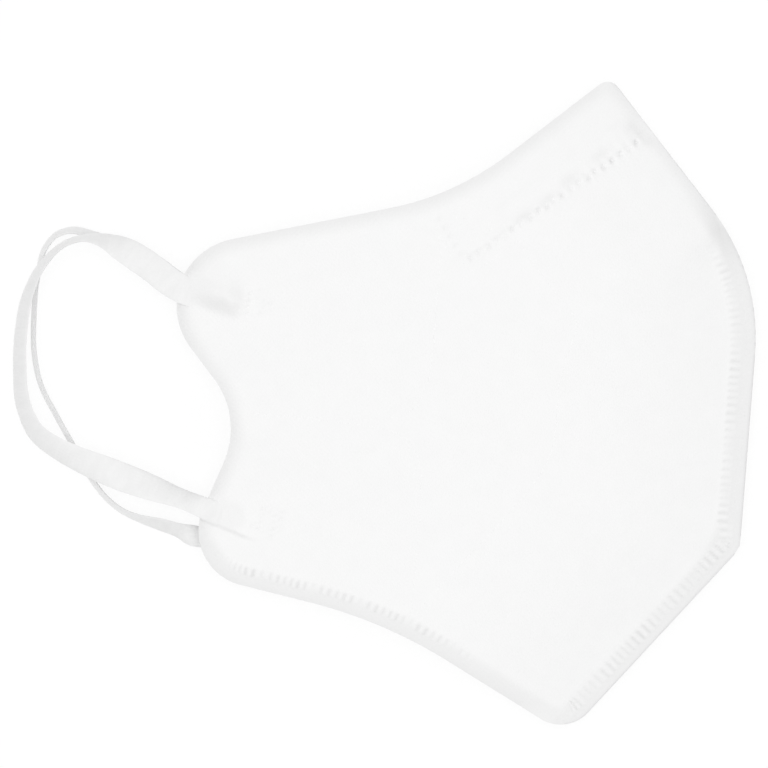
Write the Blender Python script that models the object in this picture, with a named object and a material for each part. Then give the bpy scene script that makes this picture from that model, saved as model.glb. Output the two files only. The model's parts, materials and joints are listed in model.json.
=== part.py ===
"""A disposable dust mask of the flat-fold kind, lying folded on its left half.

Metres, +Z up, with the front seam towards +X and the nose towards +Y. Each half is a stack of
four nonwoven sheets: cover, prefilter, filter and lining. The halves meet at the fold plane, along a
plain fold over the nose and a welded seam down the front and under the chin. The right half, on
top, bends open along a straight line behind the nose and the chin, so its sheets are split there.
"""

import math

import bmesh
import bpy
import numpy as np
from mathutils import Matrix, Vector

MM = 0.001

# Plan of one half: the x, y and rounding radius of every corner, clockwise from the nose, in mm.
OUTLINE_MM = {
    "nose": (28.0, 75.0, 3.0),
    "brow": (66.0, 33.0, 48.0),
    "jaw": (66.0, -30.0, 4.5),
    "chin": (30.0, -75.5, 8.5),
    "hem": (-13.5, -52.5, 108.0),
    "lower_lobe": (-61.5, -44.5, 12.5),
    "ear": (-49.0, -9.0, 18.5),
    "upper_lobe": (-79.0, 24.5, 15.5),
    "cheek": (-5.0, 45.0, 64.5),
}
ROUND_STEPS = 8

# Puffed shape of one half, measured outwards from the fold plane.
HALF_THICKNESS = 7.5 * MM
CROWN_REACH = 40.0 * MM
CROWN_POWER = 2.4
JAW_BLEND = 6.0 * MM
WELD_WIDTH = 4.5 * MM
WELD_FADE = 8.0 * MM
FOLD_GAP = 0.3 * MM
LOBE_SETBACK = 8.0 * MM
LOBE_LENGTH = 60.0 * MM
LOBE_DROOP = 3.8 * MM
LOBE_POWER = 1.5
EAR_MIDDLE_DROP = 8.0 * MM
EAR_HALF_SPAN = 18.0 * MM

# Sheets, from the outside in.
COVER_THICKNESS = 0.5 * MM
PREFILTER_THICKNESS = 0.6 * MM
FILTER_THICKNESS = 0.4 * MM
LINING_THICKNESS = 0.4 * MM
SHEET_GAP = 0.35 * MM
GRID_ALONG = 14
GRID_BELOW_JAW = 6
GRID_ABOVE_JAW = 12
GRID_CROWDING = 0.6
CUT_SNAP = 0.05 * MM

# Line that the right half bends along when the mask is opened.
BEND_X = 12.0 * MM
BEND_GAP = 0.6 * MM
BEND_AXIS_RISE = 0.2 * MM

# Nose wire and the welded row that closes its pocket: the row's end at the fold, its direction from
# there and the direction of the pocket's short side.
POCKET_FOLD_END_MM = (38.5, 61.5)
POCKET_ROW_ANGLE = math.radians(219.4)
POCKET_SIDE_ANGLE = math.radians(125.0)
POCKET_END_ROOM = 4.2 * MM
WIRE_WIDTH = 4.0 * MM
WIRE_THICKNESS = 0.6 * MM
WIRE_LEG = 47.0 * MM
WIRE_ABOVE_ROW = 4.5 * MM
WIRE_TURN_RADIUS = 0.6 * MM
WIRE_LEG_STEPS = 12
WIRE_TURN_STEPS = 6

# Ear loops: flat elastic bands. Every point has x, y, the distance of its middle from the fold
# plane, and how far the band leans from lying flat; SEATED points lie on the half's outer face.
BAND_WIDTH = 6.5 * MM
BAND_THICKNESS = 0.8 * MM
BAND_STEPS = 64
SEAT_GAP = 0.3 * MM
SEATED = None
RIGHT_LOOP_MM = (
    (-44.5, 17.0, SEATED, 0),
    (-55.5, 17.4, SEATED, 0),
    (-65.0, 18.9, SEATED, 0),
    (-74.5, 24.5, 5.2, 4),
    (-79.2, 26.9, 4.7, 26),
    (-83.8, 28.6, 4.2, 58),
    (-87.9, 28.9, 3.8, 74),
    (-92.2, 27.4, 3.5, 77),
    (-97.6, 21.5, 3.3, 70),
    (-100.2, 14.5, 3.2, 63),
    (-101.0, 6.5, 3.1, 60),
    (-100.6, -2.2, 3.1, 58),
    (-99.2, -10.0, 3.0, 54),
    (-95.6, -16.2, 2.9, 47),
    (-90.3, -19.5, 3.0, 38),
    (-85.0, -21.6, 3.4, 27),
    (-77.5, -24.0, 4.2, 2),
    (-68.5, -26.7, 4.7, -32),
    (-62.0, -29.0, 4.8, -45),
    (-57.6, -30.5, 6.2, -13),
    (-51.5, -32.2, 6.25, -6),
    (-44.5, -33.4, SEATED, 0),
    (-38.5, -33.8, SEATED, 0),
)
LEFT_LOOP_MM = (
    (-44.5, 17.0, SEATED, 0),
    (-55.5, 17.3, SEATED, 0),
    (-65.0, 18.9, SEATED, 0),
    (-74.4, 24.5, 5.2, 24),
    (-82.7, 28.3, 4.15, 63),
    (-87.5, 29.9, 4.0, 72),
    (-91.6, 30.6, 3.9, 76),
    (-95.3, 29.2, 3.9, 78),
    (-97.6, 26.0, 3.9, 79),
    (-98.7, 20.0, 3.9, 80),
    (-98.9, 10.0, 3.9, 80),
    (-98.2, 2.0, 3.9, 80),
    (-96.4, -4.6, 3.9, 80),
    (-91.9, -12.2, 3.9, 80),
    (-87.2, -19.2, 3.9, 80),
    (-82.5, -26.3, 3.9, 80),
    (-79.4, -29.7, 3.9, 80),
    (-75.6, -32.4, 3.9, 79),
    (-71.2, -34.0, 3.9, 73),
    (-66.2, -34.9, 4.1, 60),
    (-61.6, -35.7, 4.6, 46),
    (-57.6, -36.3, SEATED, 0),
    (-54.0, -36.2, SEATED, 0),
    (-47.0, -35.0, SEATED, 0),
    (-38.0, -32.2, SEATED, 0),
)

# Colour, roughness and metallic value of each material.
MATERIALS = {
    "cover_spunbond": ((0.93, 0.93, 0.93), 0.75, 0.0),
    "prefilter_cotton": ((0.90, 0.90, 0.88), 0.9, 0.0),
    "filter_melt_blown": ((0.87, 0.89, 0.92), 0.7, 0.0),
    "lining_spunbond": ((0.92, 0.92, 0.92), 0.8, 0.0),
    "wire_aluminium": ((0.80, 0.81, 0.82), 0.4, 1.0),
    "loop_elastic": ((0.90, 0.90, 0.90), 0.8, 0.0),
}

FOLD_PLANE_Z = HALF_THICKNESS
FOLD_HEIGHT = FOLD_GAP / 2 + COVER_THICKNESS
HINGE = Vector((BEND_X, 0.0, FOLD_PLANE_Z + HALF_THICKNESS + BEND_AXIS_RISE))


def corner(name):
    """Plan point of one corner of the outline, before rounding."""
    return np.array(OUTLINE_MM[name][:2]) * MM


def heading(first, last):
    """Direction from one corner of the outline to another."""
    step = corner(last) - corner(first)
    return step / np.linalg.norm(step)


def rounded(name):
    """Points along the round at one corner of the outline."""
    names = list(OUTLINE_MM)
    place = names.index(name)
    back = heading(name, names[place - 1])
    ahead = heading(name, names[(place + 1) % len(names)])
    radius = OUTLINE_MM[name][2] * MM
    half_angle = math.acos(back @ ahead) / 2
    bisector = (back + ahead) / np.linalg.norm(back + ahead)
    centre = corner(name) + bisector * radius / math.sin(half_angle)
    first = corner(name) + back * radius / math.tan(half_angle) - centre
    last = corner(name) + ahead * radius / math.tan(half_angle) - centre
    start = math.atan2(first[1], first[0])
    turn = math.remainder(math.atan2(last[1], last[0]) - start, math.tau)
    angles = start + turn * np.linspace(0, 1, ROUND_STEPS + 1)
    return centre + radius * np.stack([np.cos(angles), np.sin(angles)], axis=1)


def edge_between(first, last):
    """The outline from the middle of one corner's round to the middle of another's."""
    names = list(OUTLINE_MM)
    place = names.index(first)
    stretches = [rounded(first)[ROUND_STEPS // 2:]]
    while names[(place := (place + 1) % len(names))] != last:
        stretches.append(rounded(names[place]))
    stretches.append(rounded(last)[:ROUND_STEPS // 2 + 1])
    return np.concatenate(stretches)


RIDGE = edge_between("nose", "chin")[::-1]
HEM_EDGE = edge_between("chin", "lower_lobe")[::-1]
EAR_EDGE = edge_between("lower_lobe", "upper_lobe")
TOP_EDGE = edge_between("upper_lobe", "nose")
NOSE_TO_CHIN = np.linalg.norm(corner("nose") - corner("chin"))
BEYOND_NOSE = corner("nose") - NOSE_TO_CHIN * heading("nose", "brow")
BELOW_JAW = corner("jaw") + NOSE_TO_CHIN * heading("brow", "jaw")
ABOVE_JAW = corner("jaw") - NOSE_TO_CHIN * heading("jaw", "chin")
BEYOND_CHIN = corner("chin") + NOSE_TO_CHIN * heading("jaw", "chin")
UPPER_RIDGE = np.concatenate([[BEYOND_NOSE], rounded("brow"), [BELOW_JAW]])
CHIN_SEAM = np.stack([ABOVE_JAW, BEYOND_CHIN])


def length_shares(line):
    """Share of a line's length at each of its points."""
    steps = np.linalg.norm(np.diff(line, axis=0), axis=1)
    return np.concatenate([[0], np.cumsum(steps)]) / steps.sum()


def along(line, share):
    """Points at shares of a line's length."""
    lengths = length_shares(line)
    return np.stack([np.interp(share, lengths, line[:, axis]) for axis in range(line.shape[1])], axis=-1)


def plan(ear_to_ridge, hem_to_top):
    """Plan points of one half, blended from its four edges."""
    u = np.asarray(ear_to_ridge)[..., None]
    v = np.asarray(hem_to_top)[..., None]
    between_sides = (1 - u) * along(EAR_EDGE, v[..., 0]) + u * along(RIDGE, v[..., 0])
    between_ends = (1 - v) * along(HEM_EDGE, u[..., 0]) + v * along(TOP_EDGE, u[..., 0])
    hem_corners = (1 - v) * ((1 - u) * EAR_EDGE[0] + u * RIDGE[0])
    top_corners = v * ((1 - u) * EAR_EDGE[-1] + u * RIDGE[-1])
    return between_sides + between_ends - hem_corners - top_corners


def distance_to(points, line):
    """Distance of plan points from a line."""
    start, step = line[:-1], np.diff(line, axis=0)
    offset = points[..., None, :] - start
    share = np.clip((offset * step).sum(-1) / (step * step).sum(-1), 0, 1)
    return np.linalg.norm(offset - share[..., None] * step, axis=-1).min(-1)


def rise(distance):
    """Share of the full puff at a distance from the nose fold or from the weld's inner line."""
    return 1 - (1 - np.clip(distance / CROWN_REACH, 0, 1)) ** CROWN_POWER


def reach_of(height):
    """Distance at which the outer face stands at a height above the fold plane."""
    share = (height - FOLD_HEIGHT) / (HALF_THICKNESS - FOLD_HEIGHT)
    return CROWN_REACH * (1 - (1 - max(share, 0)) ** (1 / CROWN_POWER))


def outer_height(points):
    """Height of the cover's outer face above the fold plane."""
    past_fold = np.clip((points - rounded("brow")[0]) @ heading("nose", "brow") / WELD_FADE, 0, 1)
    upper = distance_to(points, UPPER_RIDGE) - WELD_WIDTH * past_fold**2 * (3 - 2 * past_fold)
    lower = distance_to(points, CHIN_SEAM) - WELD_WIDTH
    blend = np.maximum(JAW_BLEND - np.abs(upper - lower), 0) ** 2 / (4 * JAW_BLEND)
    puff = rise(np.minimum(upper, lower) - blend)
    to_tip = np.maximum(-points[..., 0] - LOBE_SETBACK, 0) / LOBE_LENGTH
    to_lobe = np.clip(np.abs(points[..., 1] + EAR_MIDDLE_DROP) / EAR_HALF_SPAN, 0, 1)
    droop = LOBE_DROOP * to_tip**LOBE_POWER * to_lobe**2 * (3 - 2 * to_lobe)
    return FOLD_HEIGHT + (HALF_THICKNESS - FOLD_HEIGHT) * puff - droop


def weld_column(hem_to_top):
    """Share of the way from ear to ridge at which each row meets the weld's inner line."""
    low, high = np.zeros_like(hem_to_top), np.ones_like(hem_to_top)
    for _ in range(40):
        middle = (low + high) / 2
        places = plan(middle, hem_to_top)
        inset = np.minimum(distance_to(places, UPPER_RIDGE), distance_to(places, CHIN_SEAM))
        outside = inset < WELD_WIDTH
        low, high = np.where(outside, low, middle), np.where(outside, middle, high)
    return low


def crowded(count):
    """Shares from 0 to 1 that lie closer together near both ends."""
    even = np.linspace(0, 1, count)
    return even - GRID_CROWDING * np.sin(math.tau * even) / math.tau


def sheet_grid():
    """A flat mesh of one half, with a column of points on the weld's inner line."""
    mesh = bmesh.new()
    across = GRID_BELOW_JAW + GRID_ABOVE_JAW
    bmesh.ops.create_grid(mesh, x_segments=GRID_ALONG, y_segments=across, size=0.5)
    jaw = length_shares(RIDGE)[ROUND_STEPS + 1]
    below = jaw * crowded(GRID_BELOW_JAW + 1)
    above = jaw + (1 - jaw) * crowded(GRID_ABOVE_JAW + 1)
    rows = np.concatenate([below, above[1:]])
    inside_weld = np.outer(weld_column(rows), crowded(GRID_ALONG))
    columns = np.concatenate([inside_weld, np.ones((len(rows), 1))], axis=1)
    places = plan(columns, np.repeat(rows[:, None], GRID_ALONG + 1, axis=1))
    for vert in mesh.verts:
        row = round((vert.co.y + 0.5) * across)
        column = round((vert.co.x + 0.5) * GRID_ALONG)
        vert.co = (*places[row, column], 0.0)
    return mesh


def cut(mesh, point, normal, keep_both=False):
    """Cuts a flat mesh along a line in plan and removes what lies on the normal's side."""
    parts = mesh.verts[:] + mesh.edges[:] + mesh.faces[:]
    plane = {"plane_co": (*point, 0.0), "plane_no": (*normal, 0.0)}
    bmesh.ops.bisect_plane(mesh, geom=parts, dist=CUT_SNAP, clear_outer=not keep_both, **plane)


def cut_back_from_ridge(mesh, height):
    """Ends an inner sheet where its inner face would come down to the fold plane."""
    fold_inset = reach_of(height)
    weld_inset = fold_inset + WELD_WIDTH
    brow = rounded("brow")[::2]
    seams = [(BEYOND_NOSE, brow[0], fold_inset)]
    seams += [(first, last, weld_inset) for first, last in zip(brow[:-1], brow[1:])]
    seams += [(brow[-1], BELOW_JAW, weld_inset), (ABOVE_JAW, BEYOND_CHIN, weld_inset)]
    for first, last, inset in seams:
        step = (last - first) / np.linalg.norm(last - first)
        outward = np.array([-step[1], step[0]])
        cut(mesh, first - outward * inset, outward)
    inward = heading("jaw", "brow") + heading("jaw", "chin")
    inward /= np.linalg.norm(inward)
    half_angle = math.acos(inward @ heading("jaw", "brow"))
    cut(mesh, corner("jaw") + inward * (weld_inset + JAW_BLEND / 2) / math.sin(half_angle), -inward)


def pocket_row():
    """End of the pocket's row at the fold, its direction inwards, and the way up from it."""
    inward = np.array([math.cos(POCKET_ROW_ANGLE), math.sin(POCKET_ROW_ANGLE)])
    return np.array(POCKET_FOLD_END_MM) * MM, inward, np.array([inward[1], -inward[0]])


def cut_out_pocket(mesh):
    """Removes a sheet from the nose wire's pocket."""
    fold_end, inward, above_row = pocket_row()
    row_end = fold_end + inward * (WIRE_LEG + POCKET_END_ROOM)
    ahead_of_side = np.array([math.sin(POCKET_SIDE_ANGLE), -math.cos(POCKET_SIDE_ANGLE)])
    cut(mesh, row_end, above_row, keep_both=True)
    cut(mesh, row_end, ahead_of_side, keep_both=True)
    centres = [(face, np.array(face.calc_center_median()[:2]) - row_end) for face in mesh.faces]
    inside = [face for face, offset in centres if offset @ above_row > 0 and offset @ ahead_of_side > 0]
    bmesh.ops.delete(mesh, geom=inside, context="FACES")


def material(name):
    """The named material, made on first use."""
    if name in bpy.data.materials:
        return bpy.data.materials[name]
    colour, roughness, metallic = MATERIALS[name]
    made = bpy.data.materials.new(name)
    made.use_nodes = True
    shader = made.node_tree.nodes["Principled BSDF"]
    shader.inputs["Base Color"].default_value = (*colour, 1.0)
    shader.inputs["Roughness"].default_value = roughness
    shader.inputs["Metallic"].default_value = metallic
    return made


def add_sheet(name, mesh, thickness, offset, material_name, origin=Vector((0.0, 0.0, 0.0))):
    """A named object from an open mesh, thickened, with its origin on its joint's axis."""
    data = bpy.data.meshes.new(name)
    mesh.to_mesh(data)
    mesh.free()
    data.transform(Matrix.Translation(-origin))
    data.shade_smooth()
    data.materials.append(material(material_name))
    sheet = bpy.data.objects.new(name, data)
    sheet.location = origin
    bpy.context.scene.collection.objects.link(sheet)
    solid = sheet.modifiers.new("thickness", "SOLIDIFY")
    solid.thickness = thickness
    solid.offset = offset
    return sheet


def add_panel(name, layer, side, span=None, origin=Vector((0.0, 0.0, 0.0))):
    """One panel of one sheet: side is 1 for the right half and -1 for the left."""
    depth, thickness, material_name = LAYERS[layer]
    mesh = sheet_grid()
    if span == "front":
        cut(mesh, (BEND_X + BEND_GAP / 2, 0.0), (-1.0, 0.0))
    if span == "cheek":
        cut(mesh, (BEND_X - BEND_GAP / 2, 0.0), (1.0, 0.0))
    if layer != "cover":
        cut_back_from_ridge(mesh, depth + thickness + FOLD_GAP)
    if layer == "prefilter":
        cut_out_pocket(mesh)
    for vert in mesh.verts:
        height = outer_height(np.array(vert.co[:2])) - depth
        vert.co.z = FOLD_PLANE_Z + side * height
    if side < 0:
        bmesh.ops.reverse_faces(mesh, faces=mesh.faces[:])
    return add_sheet(name, mesh, thickness, -1.0, material_name, origin)


def strip_mesh(middles, half_widths):
    """An open strip that follows a line of middle points."""
    mesh = bmesh.new()
    steps = len(middles) - 1
    bmesh.ops.create_grid(mesh, x_segments=steps, y_segments=1, size=0.5)
    for vert in mesh.verts:
        station = round((vert.co.x + 0.5) * steps)
        vert.co = middles[station] + half_widths[station] * math.copysign(1, vert.co.y)
    return mesh


def nose_wire_mesh():
    """The wire as a strip: along the right leg, round the fold and back along the left leg."""
    fold_end, inward, upward = pocket_row()
    start = fold_end + upward * WIRE_ABOVE_ROW
    depth = COVER_THICKNESS + SHEET_GAP + WIRE_THICKNESS / 2
    turn_at = reach_of(depth + WIRE_TURN_RADIUS)
    leg = [start + inward * s for s in np.linspace(WIRE_LEG, turn_at, WIRE_LEG_STEPS)]
    right_leg = [(*point, FOLD_PLANE_Z + float(outer_height(point)) - depth) for point in leg]
    radius = right_leg[-1][2] - FOLD_PLANE_Z
    turn = []
    for angle in np.linspace(math.pi / 2, -math.pi / 2, WIRE_TURN_STEPS + 1)[1:-1]:
        place = start + inward * (turn_at - radius * math.cos(angle))
        turn.append((*place, FOLD_PLANE_Z + radius * math.sin(angle)))
    left_leg = [(x, y, 2 * FOLD_PLANE_Z - z) for x, y, z in reversed(right_leg)]
    middles = np.array(right_leg + turn + left_leg)
    half_width = np.array((*upward, 0.0)) * WIRE_WIDTH / 2
    return strip_mesh(middles, np.repeat(half_width[None], len(middles), axis=0))


def add_nose_wire():
    """The wire in two lengths, parted where the right half bends."""
    for name, side, origin in (("nose_wire", 1.0, Vector((0, 0, 0))), ("nose_wire_tail", -1.0, HINGE)):
        mesh = nose_wire_mesh()
        upper = [face for face in mesh.faces if face.calc_center_median().z > FOLD_PLANE_Z]
        if name == "nose_wire_tail":
            lower = [face for face in mesh.faces if face not in upper]
            bmesh.ops.delete(mesh, geom=lower, context="FACES")
        edges = {edge for face in upper for edge in face.edges}
        verts = {vert for edge in edges for vert in edge.verts}
        plane = {"plane_co": (BEND_X + side * BEND_GAP / 2, 0, 0), "plane_no": (-side, 0, 0)}
        parts = list(verts) + list(edges) + upper
        bmesh.ops.bisect_plane(mesh, geom=parts, dist=CUT_SNAP, clear_outer=True, **plane)
        add_sheet(name, mesh, WIRE_THICKNESS, 0.0, "wire_aluminium", origin)


def add_ear_loop(name, side, route_mm, origin):
    """An elastic band along its route, lying flat on the ear lobes and twisting between them."""
    points = []
    for x, y, distance, lean in route_mm:
        if distance is SEATED:
            seat = float(outer_height(np.array((x * MM, y * MM))))
            distance = (seat + SEAT_GAP + BAND_THICKNESS / 2) / MM
        points.append((x, y, FOLD_PLANE_Z / MM + side * distance, lean))
    points = np.array(points)
    knots = np.concatenate([[0], np.cumsum(np.linalg.norm(np.diff(points[:, :3], axis=0), axis=1))])
    slopes = np.gradient(points, knots, axis=0)
    route = []
    for place in np.linspace(0, knots[-1], BAND_STEPS + 1):
        i = min(np.searchsorted(knots, place, side="right") - 1, len(knots) - 2)
        span = knots[i + 1] - knots[i]
        t = (place - knots[i]) / span
        ease = t * t * (3 - 2 * t)
        bow = t * (1 - t) * span * ((1 - t) * slopes[i] - t * slopes[i + 1])
        route.append(points[i] + (points[i + 1] - points[i]) * ease + bow)
    route = np.array(route)
    middles = route[:, :3] * MM
    half_widths = []
    for step, lean in zip(np.gradient(middles, axis=0), np.radians(route[:, 3])):
        forward = Vector(step).normalized()
        inward = Vector((-forward.y, forward.x, 0.0)).normalized()
        upward = forward.cross(inward)
        half_widths.append((inward * math.cos(lean) + upward * math.sin(lean)) * BAND_WIDTH / 2)
    mesh = strip_mesh([Vector(m) for m in middles], half_widths)
    add_sheet(name, mesh, BAND_THICKNESS, 0.0, "loop_elastic", origin)


for old in list(bpy.data.objects):
    bpy.data.objects.remove(old)

PREFILTER_DEPTH = COVER_THICKNESS + SHEET_GAP
FILTER_DEPTH = PREFILTER_DEPTH + PREFILTER_THICKNESS + SHEET_GAP
LINING_DEPTH = FILTER_DEPTH + FILTER_THICKNESS + SHEET_GAP
LAYERS = {
    "cover": (0.0, COVER_THICKNESS, "cover_spunbond"),
    "prefilter": (PREFILTER_DEPTH, PREFILTER_THICKNESS, "prefilter_cotton"),
    "filter": (FILTER_DEPTH, FILTER_THICKNESS, "filter_melt_blown"),
    "lining": (LINING_DEPTH, LINING_THICKNESS, "lining_spunbond"),
}
for layer_name in LAYERS:
    add_panel(f"left_{layer_name}", layer_name, -1)
    add_panel(f"right_front_{layer_name}", layer_name, 1, span="front")
    add_panel(f"right_cheek_{layer_name}", layer_name, 1, span="cheek", origin=HINGE)
add_nose_wire()
add_ear_loop("right_ear_loop", 1, RIGHT_LOOP_MM, HINGE)
add_ear_loop("left_ear_loop", -1, LEFT_LOOP_MM, Vector((0.0, 0.0, 0.0)))
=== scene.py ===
import json
import math

import bmesh
import bpy
import numpy as np
from mathutils import Matrix, Vector


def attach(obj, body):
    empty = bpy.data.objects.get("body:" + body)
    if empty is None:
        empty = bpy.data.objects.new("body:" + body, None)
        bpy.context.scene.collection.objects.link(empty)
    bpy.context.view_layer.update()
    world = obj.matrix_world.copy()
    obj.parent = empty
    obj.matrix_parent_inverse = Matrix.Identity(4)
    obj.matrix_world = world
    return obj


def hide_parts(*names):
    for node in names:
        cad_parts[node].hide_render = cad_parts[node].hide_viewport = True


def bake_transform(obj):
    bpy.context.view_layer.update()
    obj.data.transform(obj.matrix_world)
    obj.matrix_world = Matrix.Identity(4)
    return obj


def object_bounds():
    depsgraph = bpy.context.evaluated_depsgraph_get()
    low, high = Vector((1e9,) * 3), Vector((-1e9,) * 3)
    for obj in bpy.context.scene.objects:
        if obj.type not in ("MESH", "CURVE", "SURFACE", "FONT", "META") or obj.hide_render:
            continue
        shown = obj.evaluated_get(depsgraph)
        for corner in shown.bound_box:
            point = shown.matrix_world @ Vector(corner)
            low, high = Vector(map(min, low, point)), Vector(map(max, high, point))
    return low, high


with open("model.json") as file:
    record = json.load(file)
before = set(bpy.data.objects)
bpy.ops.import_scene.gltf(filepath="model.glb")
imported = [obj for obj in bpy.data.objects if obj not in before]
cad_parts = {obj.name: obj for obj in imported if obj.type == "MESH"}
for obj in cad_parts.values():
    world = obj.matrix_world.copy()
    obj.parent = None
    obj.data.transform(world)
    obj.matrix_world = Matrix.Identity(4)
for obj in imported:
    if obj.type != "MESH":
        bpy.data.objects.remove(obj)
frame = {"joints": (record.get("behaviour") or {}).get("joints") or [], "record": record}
cad_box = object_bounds()

# Filter: the thin melt-blown sheet of each half that holds back the dust. Its fibres are too fine to
# see, so it looks smooth and faintly blue. It lies loose between lining and prefilter.
MM = 0.001
# Each corner of one half's outline, with the radius of its round.
OUTLINE_MM = {
    "nose": (28.0, 75.0, 3.0),
    "brow": (66.0, 33.0, 48.0),
    "jaw": (66.0, -30.0, 4.5),
    "chin": (30.0, -75.5, 8.5),
    "hem": (-13.5, -52.5, 108.0),
    "lower_lobe": (-61.5, -44.5, 12.5),
    "ear": (-49.0, -9.0, 18.5),
    "upper_lobe": (-79.0, 24.5, 15.5),
    "cheek": (-5.0, 45.0, 64.5),
}
ROUND_STEPS = 24
FOLD_Z = (cad_box[0].z + cad_box[1].z) / 2
FOLD_HEIGHT = 0.65 * MM
CROWN_REACH = 40.0 * MM
CROWN_POWER = 2.2
CROWN_EASE = 1.2
JAW_BLEND = 6.0 * MM
WELD_WIDTH = 4.5 * MM
WELD_FADE = 14.0 * MM
LOBE_SETBACK = 8.0 * MM
LOBE_LENGTH = 60.0 * MM
LOBE_DROOP = 3.8 * MM
LOBE_POWER = 1.5
EAR_MIDDLE_DROP = 8.0 * MM
EAR_HALF_SPAN = 18.0 * MM
GRID_CROWDING = 0.75
BISECTIONS = 30
BEND_X = frame["joints"][0]["pos_m"][0]
BEND_REACH = 12.0 * MM
INNER_GRID = (40, 60)
INNER_ROWS = (0.06, 0.94)
INNER_EAR_START = 0.055
INNER_END_HEIGHT = 2.75 * MM
FILTER_DEPTH = 1.8 * MM
FILTER_THICKNESS = 0.4 * MM
FACES_APART = 1.0
SHARP_ANGLE = math.radians(50)
SPECULAR_LEVEL = 0.3
CLOUD_DETAIL = 4.0
CLOUD_RAMP = (0.3, 0.7)
FIBRE_DETAIL = 5.0
FIBRE_ROUGHNESS = 0.65
FIBRE_TANGLE = 1.2
BOND_LATTICE_TURN = math.radians(38)
BOND_PIT_EDGE = (0.16, 0.34)


def corner(name):
    """Plan point of one corner of the outline, before rounding."""
    return np.array(OUTLINE_MM[name][:2]) * MM


def heading(first, last):
    """Direction from one corner of the outline to another."""
    step = corner(last) - corner(first)
    return step / np.linalg.norm(step)


def rounded(name):
    """Points along the round at one corner of the outline."""
    names = list(OUTLINE_MM)
    place = names.index(name)
    back = heading(name, names[place - 1])
    ahead = heading(name, names[(place + 1) % len(names)])
    radius = OUTLINE_MM[name][2] * MM
    half_angle = math.acos(back @ ahead) / 2
    bisector = (back + ahead) / np.linalg.norm(back + ahead)
    centre = corner(name) + bisector * radius / math.sin(half_angle)
    first = corner(name) + back * radius / math.tan(half_angle) - centre
    last = corner(name) + ahead * radius / math.tan(half_angle) - centre
    start = math.atan2(first[1], first[0])
    turn = math.remainder(math.atan2(last[1], last[0]) - start, math.tau)
    angles = start + turn * np.linspace(0, 1, ROUND_STEPS + 1)
    return centre + radius * np.stack([np.cos(angles), np.sin(angles)], axis=1)


def edge_between(first, last):
    """The outline from the middle of one corner's round to the middle of another's."""
    names = list(OUTLINE_MM)
    place = names.index(first)
    stretches = [rounded(first)[ROUND_STEPS // 2:]]
    while names[(place := (place + 1) % len(names))] != last:
        stretches.append(rounded(names[place]))
    stretches.append(rounded(last)[:ROUND_STEPS // 2 + 1])
    return np.concatenate(stretches)


RIDGE = edge_between("nose", "chin")[::-1]
HEM_EDGE = edge_between("chin", "lower_lobe")[::-1]
EAR_EDGE = edge_between("lower_lobe", "upper_lobe")
TOP_EDGE = edge_between("upper_lobe", "nose")
NOSE_TO_CHIN = np.linalg.norm(corner("nose") - corner("chin"))
BEYOND_NOSE = corner("nose") - NOSE_TO_CHIN * heading("nose", "brow")
BELOW_JAW = corner("jaw") + NOSE_TO_CHIN * heading("brow", "jaw")
ABOVE_JAW = corner("jaw") - NOSE_TO_CHIN * heading("jaw", "chin")
BEYOND_CHIN = corner("chin") + NOSE_TO_CHIN * heading("jaw", "chin")
UPPER_RIDGE = np.concatenate([[BEYOND_NOSE], rounded("brow"), [BELOW_JAW]])
CHIN_SEAM = np.stack([ABOVE_JAW, BEYOND_CHIN])


def along(line, share):
    """Points at shares of a line's length."""
    steps = np.linalg.norm(np.diff(line, axis=0), axis=1)
    lengths = np.concatenate([[0], np.cumsum(steps)]) / steps.sum()
    return np.stack([np.interp(share, lengths, line[:, axis]) for axis in range(2)], axis=-1)


def plan(ear_to_ridge, hem_to_top):
    """Plan points of one half, blended from its four edges."""
    from_ear = ear_to_ridge[..., None]
    from_hem = hem_to_top[..., None]
    between_sides = (1 - from_ear) * along(EAR_EDGE, hem_to_top)
    between_sides += from_ear * along(RIDGE, hem_to_top)
    between_ends = (1 - from_hem) * along(HEM_EDGE, ear_to_ridge)
    between_ends += from_hem * along(TOP_EDGE, ear_to_ridge)
    hem_corners = (1 - from_hem) * ((1 - from_ear) * EAR_EDGE[0] + from_ear * RIDGE[0])
    top_corners = from_hem * ((1 - from_ear) * EAR_EDGE[-1] + from_ear * RIDGE[-1])
    return between_sides + between_ends - hem_corners - top_corners


def nearest(points, line):
    """Distance of plan points from a line, and how far along the line they lie."""
    best = np.full(len(points), np.inf)
    place = np.zeros(len(points))
    passed = 0.0
    for start, end in zip(line[:-1], line[1:]):
        length = np.linalg.norm(end - start)
        way = (end - start) / length
        ahead = np.clip((points - start) @ way, 0, length)
        away = np.linalg.norm(points - start - ahead[:, None] * way, axis=1)
        place = np.where(away < best, passed + ahead, place)
        best = np.minimum(best, away)
        passed += length
    return best, place


def smooth(share):
    """Eases from 0 to 1."""
    share = np.clip(share, 0, 1)
    return share * share * (3 - 2 * share)


def seam_inset(points):
    """Distance of plan points inside the nose fold or the weld's inner line, and the weld's share."""
    welded = smooth((points - rounded("brow")[0]) @ heading("nose", "brow") / WELD_FADE)
    upper = nearest(points, UPPER_RIDGE)[0] - WELD_WIDTH * welded
    lower = nearest(points, CHIN_SEAM)[0] - WELD_WIDTH
    blend = np.maximum(JAW_BLEND - np.abs(upper - lower), 0) ** 2 / (4 * JAW_BLEND)
    return np.minimum(upper, lower) - blend, np.where(lower < upper, 1.0, welded)


def crown(inset):
    """Height that the puffed half gains over its fold, at a distance inside the seam."""
    share = np.clip(inset / CROWN_REACH, 0, 1)
    return (FOLD_Z - FOLD_HEIGHT) * (1 - (1 - share) ** CROWN_POWER) ** CROWN_EASE


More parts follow.
